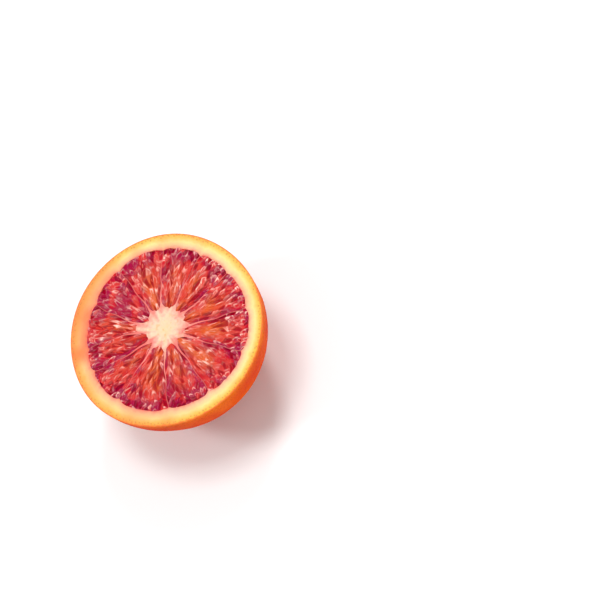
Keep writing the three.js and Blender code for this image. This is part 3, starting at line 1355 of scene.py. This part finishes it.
@dataclass
class Pith:
    """The white pith: a cut ring on top, and a thick bowl below it that holds the segments."""

    rind: Rind
    fruit: Fruit = FRUIT
    rings: int = 20
    column_width: float = 0.22 * MM
    floor_thickness: float = 6.0 * MM
    under_share: float = 0.16

    def cavity_height(self, plan: Array) -> Array:
        """Reads the hollow that the segments fill.

        Args:
            plan: Plan points.

        Returns:
            The hollow's height at each.
        """
        angle = np.arctan2(plan[:, 1], plan[:, 0])
        share = np.clip(np.hypot(*plan.T) / self.fruit.pulp_edge(angle), 0, 1)
        top = self.fruit.face_height - self.rind.section.drop
        return top - (top - self.floor_thickness) * np.sqrt(1 - share**2)

    def build(self, finish: bpy.types.Material) -> bpy.types.Object:
        """Builds the piece.

        Args:
            finish: The section's material.

        Returns:
            The piece.
        """
        surface = Surface.empty("depth", "warmth", "gland")
        loop = column_angles(self.fruit.face_radius, self.column_width)
        rims = []
        for share in np.linspace(self.rind.band_share, 1, self.rings + 1):
            points, marks = self.rind.section.read(share, loop)
            rims.append((surface.add_points(points, **marks), points))
            if len(rims) > 1:
                surface.band(rims[-1][0], rims[-2][0])
        under = self.fruit.face_radius * self.rind.band_share * self.under_share
        self.add_bowl(surface, loop, *rims[0], under, outside=True)
        self.add_bowl(surface, loop, *rims[-1], self.floor_thickness, outside=False)
        return fit_to_frame(surface.make("pith", [finish], [rims[0][0], rims[-1][0]]))

    def add_bowl(
        self, surface: Surface, loop: Array, rim: Array, points: Array, floor: float, outside: bool
    ) -> None:
        """Adds the pith's outside or its hollow.

        Args:
            surface: The surface it is added to.
            loop: Angles of the rim's points.
            rim: The rim's point numbers.
            points: The rim's points.
            floor: Height of the bowl's lowest point.
            outside: Whether the bowl faces outwards.
        """
        down, around, triangles, _ = Bowl(loop, math.pi / 2, HIDDEN_PITCH).laid()
        reach = np.interp(around, loop, np.hypot(points[:, 0], points[:, 1]), period=TURN)
        top = np.interp(around, loop, points[:, 2], period=TURN)
        height = top - (top - floor) * np.cos(down)
        bowl = np.column_stack([on_circle(reach * np.sin(down), around), height])
        depth = self.rind.band_share if outside else 1.0
        numbers = np.concatenate([rim, surface.add_points(bowl[len(rim) :], depth=depth)])
        surface.add_triangles(numbers[triangles[:, ::-1] if outside else triangles])


@dataclass(frozen=True)
class SacForm:
    """What the knife left of a juice sac.

    Attributes:
        share: How many of the sacs are like this.
        rise: How far its flesh stands above its wall's foot. Below 0 it sinks.
        lip: How far the wall round it stands up.
        hollow_shade: How dark its hollow is, from 0 to 1.
    """

    share: float
    rise: float
    lip: float
    # Painted shade: how much the hollow of such a sac is darkened.
    hollow_shade: float


class SacKind(Enum):
    """The ways in which the knife leaves a juice sac."""

    WHOLE = SacForm(share=0.4, rise=0.4 * MM, lip=0.0, hollow_shade=0.0)
    CUT = SacForm(share=0.34, rise=-0.12 * MM, lip=0.12 * MM, hollow_shade=0.2)
    EMPTY = SacForm(share=0.26, rise=-0.6 * MM, lip=0.06 * MM, hollow_shade=1.0)


@dataclass
class SacField:
    """The juice sacs that the cut crosses in one segment: drops that lie along the segment's rays.

    LENGTHS and WIDTHS give a sac's whole size at even steps from the segment's tip to the rim. The other
    values in capitals say how the sacs are scattered and how their pale walls and painted highlights show.

    Attributes:
        centres: Plan points of the sacs' middles.
        rays: Unit vectors along the sacs, outwards.
        lengths: Half lengths.
        widths: Half widths.
        kinds: Numbers of the sacs' kinds.
        tones: Random numbers from 0 to 1, one a sac.
        leans: How far each sac's flesh slopes along and across it.
        rims: How plainly each sac's pale wall and its painted highlight show, from 0 to 1.
    """

    centres: Array
    rays: Array
    lengths: Array
    widths: Array
    kinds: Array
    tones: Array
    leans: Array
    rims: Array

    LENGTHS = (5.4 * MM, 6.2 * MM, 4.6 * MM, 2.3 * MM)
    WIDTHS = (1.1 * MM, 1.5 * MM, 1.75 * MM, 1.7 * MM)
    RIM_RARITY = 1.1
    WALL_HALF_WIDTH = 0.16 * MM
    WALL_INSET = 0.22 * MM
    # Plan direction of the lights: each sac's painted highlight is strongest on its side this way.
    LIT_SIDE = np.array([-0.5, 0.87])
    BODY_RUN = 0.22 * MM
    ROW_STEP = 0.62
    SIDE_SHIFT = 0.3
    ROW_SHIFT = 0.6
    SIZES = (0.75, 1.3)
    TILT = 0.16
    RIM_TILT = 0.5
    LEAN = 0.09 * MM
    FIRST_SEED = 100
    TAPER = 0.22

    @classmethod
    def planted(cls, fruit: Fruit, index: int) -> "SacField":
        """Plants the sacs of a segment in jittered rows from its tip to the rind.

        Args:
            fruit: The fruit.
            index: The segment's number.

        Returns:
            The field.
        """
        rng = np.random.default_rng(cls.FIRST_SEED + index)
        inner = SEGMENTS[index].tip * fruit.face_radius
        outer = fruit.pulp_radius * 1.03
        stages = np.linspace(0, 1, len(cls.LENGTHS))
        rows = []
        radius = inner + 0.5 * MM
        while radius < outer:
            share = (radius - inner) / (outer - inner)
            length, width = np.interp(share, stages, cls.LENGTHS), np.interp(share, stages, cls.WIDTHS)
            low, high = (float(fruit.membrane_angle(index + side, np.float64(radius))) for side in (0, 1))
            count = max(1, round((high - low) * radius / width))
            place = (np.arange(count) + 0.5 + rng.uniform(-cls.SIDE_SHIFT, cls.SIDE_SHIFT, count)) / count
            out = radius + rng.uniform(-0.5, 0.5, count) * length * cls.ROW_SHIFT
            angle = low + (high - low) * place
            scale = rng.uniform(*cls.SIZES, count)
            tilt = rng.normal(0, cls.TILT + cls.RIM_TILT * share**3, count)
            rows.append(np.column_stack([out, angle, angle + tilt, length / 2 * scale, width / 2 * scale]))
            radius += length * cls.ROW_STEP
        out, angle, heading, lengths, widths = np.vstack(rows).T
        count = len(out)
        shares = [kind.value.share for kind in SacKind]
        return cls(
            centres=on_circle(out, angle),
            rays=on_circle(np.ones(count), heading),
            lengths=lengths,
            widths=widths,
            kinds=rng.choice(len(shares), count, p=shares),
            tones=rng.uniform(0, 1, count),
            leans=rng.normal(0, cls.LEAN, (count, 2)),
            rims=rng.uniform(0, 1, count) ** cls.RIM_RARITY,
        )

    def read(self, plan: Array) -> dict[str, Array]:
        """Reads the field at plan points.

        Args:
            plan: The points.

        Returns:
            The height of the relief as `rise`, the mark `wall` of pale walls with painted highlights, a mark of
            painted shade for sunken sacs, and `tone`.
        """
        offset = plan[:, None] - self.centres[None]
        along = (offset * self.rays).sum(axis=2) / self.lengths
        across = (offset[..., 1] * self.rays[:, 0] - offset[..., 0] * self.rays[:, 1]) / self.widths
        drop = 1 - self.TAPER + self.TAPER * np.clip(along, -1, 1)
        spread = np.hypot(along, across / drop)
        order = np.argpartition(spread, 1, axis=1)[:, :2]
        near = np.take_along_axis(spread, order, axis=1)
        order = np.where((near[:, 0] <= near[:, 1])[:, None], order, order[:, ::-1])
        first, second = order.T
        row = np.arange(len(plan))
        apart = spread[row, second] - spread[row, first]
        to_wall = apart * (self.widths[first] + self.widths[second]) / 4
        forms = [kind.value for kind in SacKind]
        rise, lip, hollow_shade = (np.array([getattr(f, part) for f in forms]) for part in ("rise", "lip", "hollow_shade"))
        kind = self.kinds[first]
        body = 1 - np.exp(-to_wall / self.BODY_RUN)
        wall = bell(to_wall, self.WALL_HALF_WIDTH)
        lean = self.leans[first]
        slope = lean[:, 0] * along[row, first] + lean[:, 1] * across[row, first]
        height = body * (rise[kind] + slope) + wall * np.maximum(lip[kind], lip[self.kinds[second]])
        beyond = offset[row, first] / np.maximum(np.hypot(*offset[row, first].T), 0.01 * MM)[:, None]
        # Painted highlight: the pale band inside each sac's wall is strongest on its side towards the lights
        # and faint in sunken sacs; the rest is the wall's own paleness.
        toward_lights = smooth_step(-0.1, 0.9, beyond @ self.LIT_SIDE)
        wall_and_highlight = bell(to_wall - self.WALL_INSET, self.WALL_HALF_WIDTH) * self.rims[first]
        wall_and_highlight = wall_and_highlight * (0.15 + 0.85 * toward_lights)
        wall_and_highlight = wall_and_highlight * (1 - 0.85 * hollow_shade[kind])
        # The hollows of sunken sacs get painted shade.
        return {"rise": height, "wall": wall_and_highlight, "hollow_shade": hollow_shade[kind] * body, "tone": self.tones[first]}


@dataclass
class PulpSegment:
    """The pulp of one segment: a closed wedge whose top is the cut through its juice sacs."""

    index: int
    fruit: Fruit
    pith: Pith
    sacs: SacField
    spacing: float = 0.15 * MM
    under_spacing: float = 1.6 * MM
    edge_drop: float = 0.34 * MM
    crown: float = 0.22 * MM
    swim_depth: float = 0.12 * MM
    swim_size: float = 4 * MM
    grain_depth: float = 0.02 * MM
    grain_size: float = 0.5 * MM
    patch_size: float = 3.2 * MM
    streak_width: float = 0.3
    streak_bend: float = 0.08
    streak_fade: tuple[float, float] = (0.45, 0.95)
    plain_size: float = 1.3 * MM
    floor_gap: float = 0.3 * MM
    least_depth: float = 1.2 * MM

    def position(self, plan: Array) -> tuple[Array, Array]:
        """Where plan points lie in the segment.

        Args:
            plan: The points.

        Returns:
            How far out they are, from 0 at the tip to 1 at the rind, and how far across, from 0 to 1.
        """
        radius = np.hypot(*plan.T)
        inner = SEGMENTS[self.index].tip * self.fruit.face_radius
        low, high = (self.fruit.membrane_angle(self.index + side, radius) for side in (0, 1))
        angle = np.arctan2(plan[:, 1], plan[:, 0])
        turned = (angle - low + math.pi / 2) % TURN - math.pi / 2
        across = np.clip(turned / (high - low), 0, 1)
        return np.clip((radius - inner) / (self.fruit.pulp_radius - inner), 0, 1), across

    def top(self, plan: Array) -> tuple[Array, dict[str, Array]]:
        """Height and marks of the cut pulp at plan points.

        Args:
            plan: The points.

        Returns:
            Their heights, and the marks that the pulp's finish reads.
        """
        segment = SEGMENTS[self.index]
        read = self.sacs.read(plan)
        out, across = self.position(plan)
        side = np.abs(2 * across - 1)
        crown = np.sqrt(np.clip(np.sin(math.pi * out), 0, 1)) * (1 - side**4)
        swim = SoftNoise(self.swim_size, 41)(plan) * self.swim_depth
        swim += SoftNoise(self.grain_size, 42)(plan) * self.grain_depth
        height = self.fruit.face_height - self.edge_drop + self.crown * crown + read.pop("rise") + swim
        patch = SoftNoise(self.patch_size, 43)(plan)
        streak = bell(across - segment.streak - self.streak_bend * patch, self.streak_width)
        fade = 1 - smooth_step(*self.streak_fade, out)
        read["amber"] = np.clip(segment.amber * streak * fade * (1.4 + patch), 0, 1)
        edge = 0.15 * smooth_step(0.7, 1.0, out) + 0.3 * side**3
        read["wine"] = np.clip(0.16 + 0.65 * segment.wine + edge + patch, 0, 1)
        # The pale walls and their painted highlights show more in some patches and segments than in others.
        plain = 0.7 + 0.5 * SoftNoise(self.plain_size, 44)(plan)
        read["wall"] = np.clip(read["wall"] * plain * (0.6 + 0.9 * segment.pale), 0, 1)
        return height, read

    def floor(self, plan: Array) -> tuple[Array, dict[str, float]]:
        """Height and marks of the pulp's hidden underside, which stays clear of the pith, at plan points."""
        most = self.fruit.face_height - self.edge_drop - self.least_depth
        return np.minimum(self.pith.cavity_height(plan) + self.floor_gap, most), {"wine": 0.6, "tone": 0.5}

    def build(self, finish: bpy.types.Material) -> bpy.types.Object:
        """Builds the piece.

        Args:
            finish: The pulp's material.

        Returns:
            The piece.
        """
        surface = Surface.empty("tone", "wine", "amber", "wall", "hollow_shade")
        outline = self.fruit.pocket(self.index, self.spacing, 0.0)
        rim = add_block(surface, outline, (self.spacing, self.under_spacing), self.top, self.floor)
        return fit_to_frame(surface.make(f"pulp_{self.index + 1:02d}", [finish], [rim]))


@dataclass
class CoreWeb:
    """The spongy core with its twelve membranes, one closed star-shaped block."""

    fruit: Fruit
    pith: Pith
    spacing: float = 0.2 * MM
    under_spacing: float = 2.0 * MM
    overlap: float = 0.04 * MM
    drop: float = 0.2 * MM
    dish: float = 0.45 * MM
    arm_end: float = 0.35 * MM
    least_depth: float = 1.2 * MM
    common_tip: float = 0.21
    fibre_spread: float = 0.16
    core_share: float = 0.2
    sponge_size: float = 1.1 * MM
    crumb_size: float = 0.5 * MM
    crack_size: float = 0.9 * MM
    sponge_relief: float = 0.07 * MM
    fibre_relief: float = 0.1 * MM
    crack_relief: float = 0.14 * MM
    fibre_tint: float = 0.4

    def outline(self) -> Array:
        """Follows the star round.

        Returns:
            Its outline's points, counter-clockwise.
        """
        stretches = []
        for index in range(len(SEGMENTS)):
            low, tip, high = self.fruit.pocket_sides(index, -self.overlap)
            for side, end in ((low, 0), (high, -1)):
                outward = side[end] / np.hypot(*side[end])
                side[end] = side[end] + outward * self.arm_end
            stretches.append(np.vstack([low, tip, high]))
        return resampled(np.vstack(stretches), self.spacing)

    def top(self, plan: Array) -> tuple[Array, dict[str, Array]]:
        """Height and marks of the star's top at plan points.

        Args:
            plan: The points.

        Returns:
            Their heights, and the marks `reach` and `crack`.
        """
        radius = np.hypot(*plan.T)
        core = self.core_share * self.fruit.face_radius
        sponge = SoftNoise(self.sponge_size, 51)(plan) + 0.5 * SoftNoise(self.crumb_size, 52)(plan)
        crack = smooth_step(0.25, 0.9, SoftNoise(self.crack_size, 53)(plan)) * bell(radius, 0.9 * core)
        height = self.fruit.face_height - self.drop - self.dish * bell(radius, 0.6 * core)
        angle = np.arctan2(plan[:, 1], plan[:, 0])
        fibre = SoftNoise(self.fibre_spread, 54)(on_circle(np.ones(len(plan)), angle))
        fibre *= smooth_step(0.1, 0.5, radius / core)
        height += self.sponge_relief * sponge * np.where(radius < core, 1.0, 0.5)
        height += self.fibre_relief * fibre - self.crack_relief * crack
        past = radius - self.fruit.pulp_edge(angle)
        height -= 0.12 * MM * smooth_step(-0.5 * MM, 0.1 * MM, past)
        roots = np.radians([s.root for s in SEGMENTS] + [SEGMENTS[0].root + 360])
        middles = (roots[1:] + roots[:-1]) / 2
        tips = np.interp(angle, middles, [s.tip for s in SEGMENTS], period=TURN)
        reach = radius / self.fruit.pulp_radius * self.common_tip / tips * (1 + self.fibre_tint * fibre)
        return height, {"reach": reach, "crack": crack}

    def floor(self, plan: Array) -> tuple[Array, dict[str, Array]]:
        """Height and marks of the star's hidden underside, on the pith, at plan points."""
        height = np.minimum(self.pith.cavity_height(plan), self.fruit.face_height - self.least_depth)
        return height, {"reach": np.hypot(*plan.T) / self.fruit.pulp_radius}

    def build(self, finish: bpy.types.Material) -> bpy.types.Object:
        """Builds the piece.

        Args:
            finish: The membranes' material.

        Returns:
            The piece.
        """
        surface = Surface.empty("reach", "crack")
        rim = add_block(surface, self.outline(), (self.spacing, self.under_spacing), self.top, self.floor)
        return fit_to_frame(surface.make("core_and_membranes", [finish], [rim]))


@dataclass
class LooseSacs:
    """Juice sacs that the knife pushed aside and left standing proud: wet drops, joined into one mesh."""

    segments: Sequence[PulpSegment]
    each: int = 10
    lengths: tuple[float, float] = (0.5, 0.85)
    widths: tuple[float, float] = (0.6, 0.95)
    sinks: tuple[float, float] = (-0.6, -0.1)
    turn_spread: float = 0.2
    tip_spread: float = 0.08
    rings: int = 10
    sides: int = 12
    seed: int = 61

    def drop(self, length: float, width: float) -> tuple[Array, Array]:
        """One drop along +X, blunt at its outer end and pointed at its inner one.

        Args:
            length: Half of its length.
            width: Half of its width.

        Returns:
            Its points and its triangles.
        """
        turn = np.arange(self.sides) / self.sides * TURN
        points = [[-length, 0, 0]]
        for i in range(1, self.rings):
            bend = i / self.rings * math.pi
            girth = width * math.sin(bend) ** 0.8 * (0.62 - 0.38 * math.cos(bend))
            for angle in turn:
                points.append([-length * math.cos(bend), girth * math.cos(angle), girth * math.sin(angle)])
        points.append([length, 0, 0])
        last = len(points) - 1
        ring = np.arange(self.sides)
        after = (ring + 1) % self.sides
        triangles = [np.stack([np.zeros(self.sides, int), 1 + after, 1 + ring], axis=1)]
        for i in range(self.rings - 2):
            near, far = 1 + i * self.sides, 1 + (i + 1) * self.sides
            triangles.append(np.stack([near + ring, near + after, far + after], axis=1))
            triangles.append(np.stack([near + ring, far + after, far + ring], axis=1))
        near = 1 + (self.rings - 2) * self.sides
        triangles.append(np.stack([near + ring, near + after, np.full(self.sides, last)], axis=1))
        return np.array(points), np.vstack(triangles)

    def build(self, finish: bpy.types.Material) -> bpy.types.Object:
        """Builds the piece.

        Args:
            finish: The pulp's material.

        Returns:
            The piece.
        """
        rng = np.random.default_rng(self.seed)
        surface = Surface.empty("tone", "wine", "amber", "wall", "hollow_shade")
        for segment in self.segments:
            sacs = segment.sacs
            out, across = segment.position(sacs.centres)
            fit = np.flatnonzero((out > 0.12) & (out < 0.93) & (np.abs(across - 0.5) < 0.4))
            for i in rng.choice(fit, min(self.each, len(fit)), replace=False):
                length = sacs.lengths[i] * rng.uniform(*self.lengths)
                width = sacs.widths[i] * rng.uniform(*self.widths)
                points, triangles = self.drop(length, width)
                heading = math.atan2(*sacs.rays[i][::-1]) + rng.normal(0, self.turn_spread)
                tipped = Matrix.Rotation(rng.normal(0, self.tip_spread), 3, "Y")
                turned = Matrix.Rotation(heading, 3, "Z") @ tipped
                points = points @ np.array(turned).T
                height, marks = segment.top(sacs.centres[i][None])
                points += (*sacs.centres[i], height[0] + width * rng.uniform(*self.sinks))
                pale = rng.uniform(0, 0.35) ** 1.5
                numbers = surface.add_points(
                    points,
                    tone=rng.uniform(0, 1),
                    wine=float(marks["wine"][0]) * rng.uniform(0.5, 1.1),
                    amber=float(marks["amber"][0]),
                    wall=pale,
                )
                surface.add_triangles(numbers[triangles])
        return fit_to_frame(surface.make("loose_sacs", [finish]))


@dataclass
class PoleScar:
    """The dry scar of the blossom, a small rough button in a dimple at the pole."""

    radius: float = 1.5 * MM
    thickness: float = 0.5 * MM
    top: float = 0.85 * MM
    rings: int = 8
    sides: int = 48

    def build(self, finish: bpy.types.Material) -> bpy.types.Object:
        """Builds the piece.

        Args:
            finish: The scar's material.

        Returns:
            The piece.
        """
        surface = Surface.empty()
        turn = np.arange(self.sides) / self.sides * TURN
        ragged = self.radius * (1 + 0.12 * np.cos(5 * turn + 1) + 0.06 * np.cos(9 * turn))
        tops = surface.add_points(np.array([[0, 0, self.top]]))
        upper = None
        for i in range(1, 2 * self.rings):
            turned = i / (2 * self.rings) * math.pi
            plan = on_circle(ragged * math.sin(turned), turn)
            rough = 1 + 0.3 * SoftNoise(0.4 * MM, 71)(plan)
            height = self.top - self.thickness / 2 * (1 - math.cos(turned)) * rough
            lower = surface.add_points(np.column_stack([plan, height]))
            if upper is None:
                fan = [np.full(self.sides, tops[0]), lower, np.roll(lower, -1)]
                surface.add_triangles(np.stack(fan, axis=1))
            else:
                surface.band(upper, lower)
            upper = lower
        end = surface.add_points(np.array([[0, 0, self.top - self.thickness]]))
        surface.add_triangles(np.stack([np.full(self.sides, end[0]), np.roll(upper, -1), upper], axis=1))
        return fit_to_frame(surface.make("pole_scar", [finish]))


# ---------------------------------------------------------------------------------------------------------
# Studio
# ---------------------------------------------------------------------------------------------------------


@dataclass(frozen=True)
class SoftBox:
    """A square soft light that looks at the cut face.

    Attributes:
        name: The light's name.
        azimuth: Where it stands round the object, in degrees counter-clockwise from +X.
        elevation: How high it stands, in degrees.
        distance: How far from the face it is.
        size: Length of its side.
        power: Its power in watts.
    """

    name: str
    azimuth: float
    elevation: float
    distance: float
    size: float
    power: float

    def place(self, target: Vector) -> None:
        """Sets the light up.

        Args:
            target: What it looks at.
        """
        light = bpy.data.lights.new(self.name, "AREA")
        light.shape = "SQUARE"
        light.size = self.size
        light.energy = self.power
        lamp = bpy.data.objects.new(self.name, light)
        turn, rise = math.radians(self.azimuth), math.radians(self.elevation)
        toward = Vector((math.cos(turn) * math.cos(rise), math.sin(turn) * math.cos(rise), math.sin(rise)))
        lamp.location = target + toward * self.distance
        lamp.rotation_mode = "QUATERNION"
        lamp.rotation_quaternion = (-toward).to_track_quat("-Z", "Y")
        bpy.context.scene.collection.objects.link(lamp)


@dataclass(frozen=True)
class Viewpoint:
    """Where the camera stands and how it frames the half.

    Attributes:
        azimuth: Angle round the object: 0 looks along +Y, in degrees.
        elevation: Height above the horizon, in degrees.
        roll: How far the frame is turned clockwise from level, in degrees.
        face_share: The face's width as a share of the frame's.
        place: Where the face's middle lies in the frame, as shares from its left and lower sides.
        lens: Focal length in millimetres.
        sensor: Sensor width in millimetres.
    """

    azimuth: float = 45.0
    elevation: float = 64.9
    roll: float = 42.2
    face_share: float = 0.3385
    place: tuple[float, float] = (0.275, 0.451)
    lens: float = 150.0
    sensor: float = 36.0

    def set_up(self, fruit: Fruit) -> bpy.types.Object:
        """Makes the camera. The roll turns the frame so that the face's +X points about right in it.

        Args:
            fruit: The fruit that it looks at.

        Returns:
            The camera.
        """
        turn, rise = math.radians(self.azimuth), math.radians(self.elevation)
        back = Vector((math.sin(turn) * math.cos(rise), -math.cos(turn) * math.cos(rise), math.sin(rise)))
        level = Vector((math.cos(turn), math.sin(turn), 0))
        upright = back.cross(level)
        tip = math.radians(self.roll)
        right = level * math.cos(tip) - upright * math.sin(tip)
        up = level * math.sin(tip) + upright * math.cos(tip)
        width = 2 * fruit.face_radius / self.face_share
        shift = right * (0.5 - self.place[0]) * width + up * (0.5 - self.place[1]) * width
        data = bpy.data.cameras.new("camera")
        data.lens = self.lens
        data.sensor_width = self.sensor
        data.dof.use_dof = False
        camera = bpy.data.objects.new("camera", data)
        face = Vector((0, 0, fruit.face_height))
        camera.matrix_world = Matrix((right, up, back)).transposed().to_4x4()
        camera.location = face + shift + back * (width * self.lens / self.sensor)
        bpy.context.scene.collection.objects.link(camera)
        bpy.context.scene.camera = camera
        return camera


@dataclass(frozen=True)
class Studio:
    """A white floor, a white surround and soft lights."""

    lights: tuple[SoftBox, ...] = (
        SoftBox("key_light", azimuth=110, elevation=80, distance=1.6, size=0.5, power=10),
        SoftBox("left_light", azimuth=195, elevation=50, distance=1.6, size=0.35, power=7.5),
        SoftBox("far_light", azimuth=88, elevation=48, distance=1.6, size=0.35, power=8),
        SoftBox("low_light", azimuth=335, elevation=24, distance=1.6, size=0.4, power=3.5),
    )
    floor_half: float = 2.5
    surround: float = 0.46

    def build(self, target: Vector) -> bpy.types.Object:
        """Sets up the floor, the surround and the lights.

        Args:
            target: What the lights look at.

        Returns:
            The floor.
        """
        half = self.floor_half
        corners = [(-half, -half, 0), (half, -half, 0), (half, half, 0), (-half, half, 0)]
        mesh = bpy.data.meshes.new("floor")
        mesh.from_pydata(corners, [], [(0, 1, 2, 3)])
        mesh.materials.append(FloorFinish().material())
        floor = bpy.data.objects.new("floor", mesh)
        bpy.context.scene.collection.objects.link(floor)
        world = bpy.data.worlds.new("surround")
        world.use_nodes = True
        shade = world.node_tree.nodes["Background"]
        shade.inputs["Color"].default_value = (1, 1, 1, 1)
        shade.inputs["Strength"].default_value = self.surround
        bpy.context.scene.world = world
        bpy.context.scene.view_settings.view_transform = "Standard"
        for light in self.lights:
            light.place(target)
        return floor


# ---------------------------------------------------------------------------------------------------------
# Putting it together
# ---------------------------------------------------------------------------------------------------------


def report(piece: bpy.types.Object) -> None:
    """Logs a piece's name, its triangles and its size."""
    size = " x ".join(f"{side / MM:.1f}" for side in piece.dimensions)
    log.info("%s: %d triangles, %s mm", piece.name, len(piece.data.polygons), size)


def main() -> None:
    """Builds every piece, then the studio and the camera."""
    logging.basicConfig(level=logging.INFO, format="%(message)s")
    section = SectionFinish().material()
    pulp = PulpFinish().material()
    rind = Rind(FRUIT)
    pith = Pith(rind)
    report(rind.build([SkinFinish().material(), section]))
    report(pith.build(section))
    segments = [PulpSegment(i, FRUIT, pith, SacField.planted(FRUIT, i)) for i in range(len(SEGMENTS))]
    for segment in segments:
        report(segment.build(pulp))
    report(LooseSacs(segments).build(pulp))
    report(CoreWeb(FRUIT, pith).build(MembraneFinish().material()))
    report(PoleScar().build(ScarFinish().material()))
    Viewpoint().set_up(FRUIT)
    report(Studio().build(Vector((0, 0, FRUIT.face_height))))


if __name__ == "__main__":
    main()
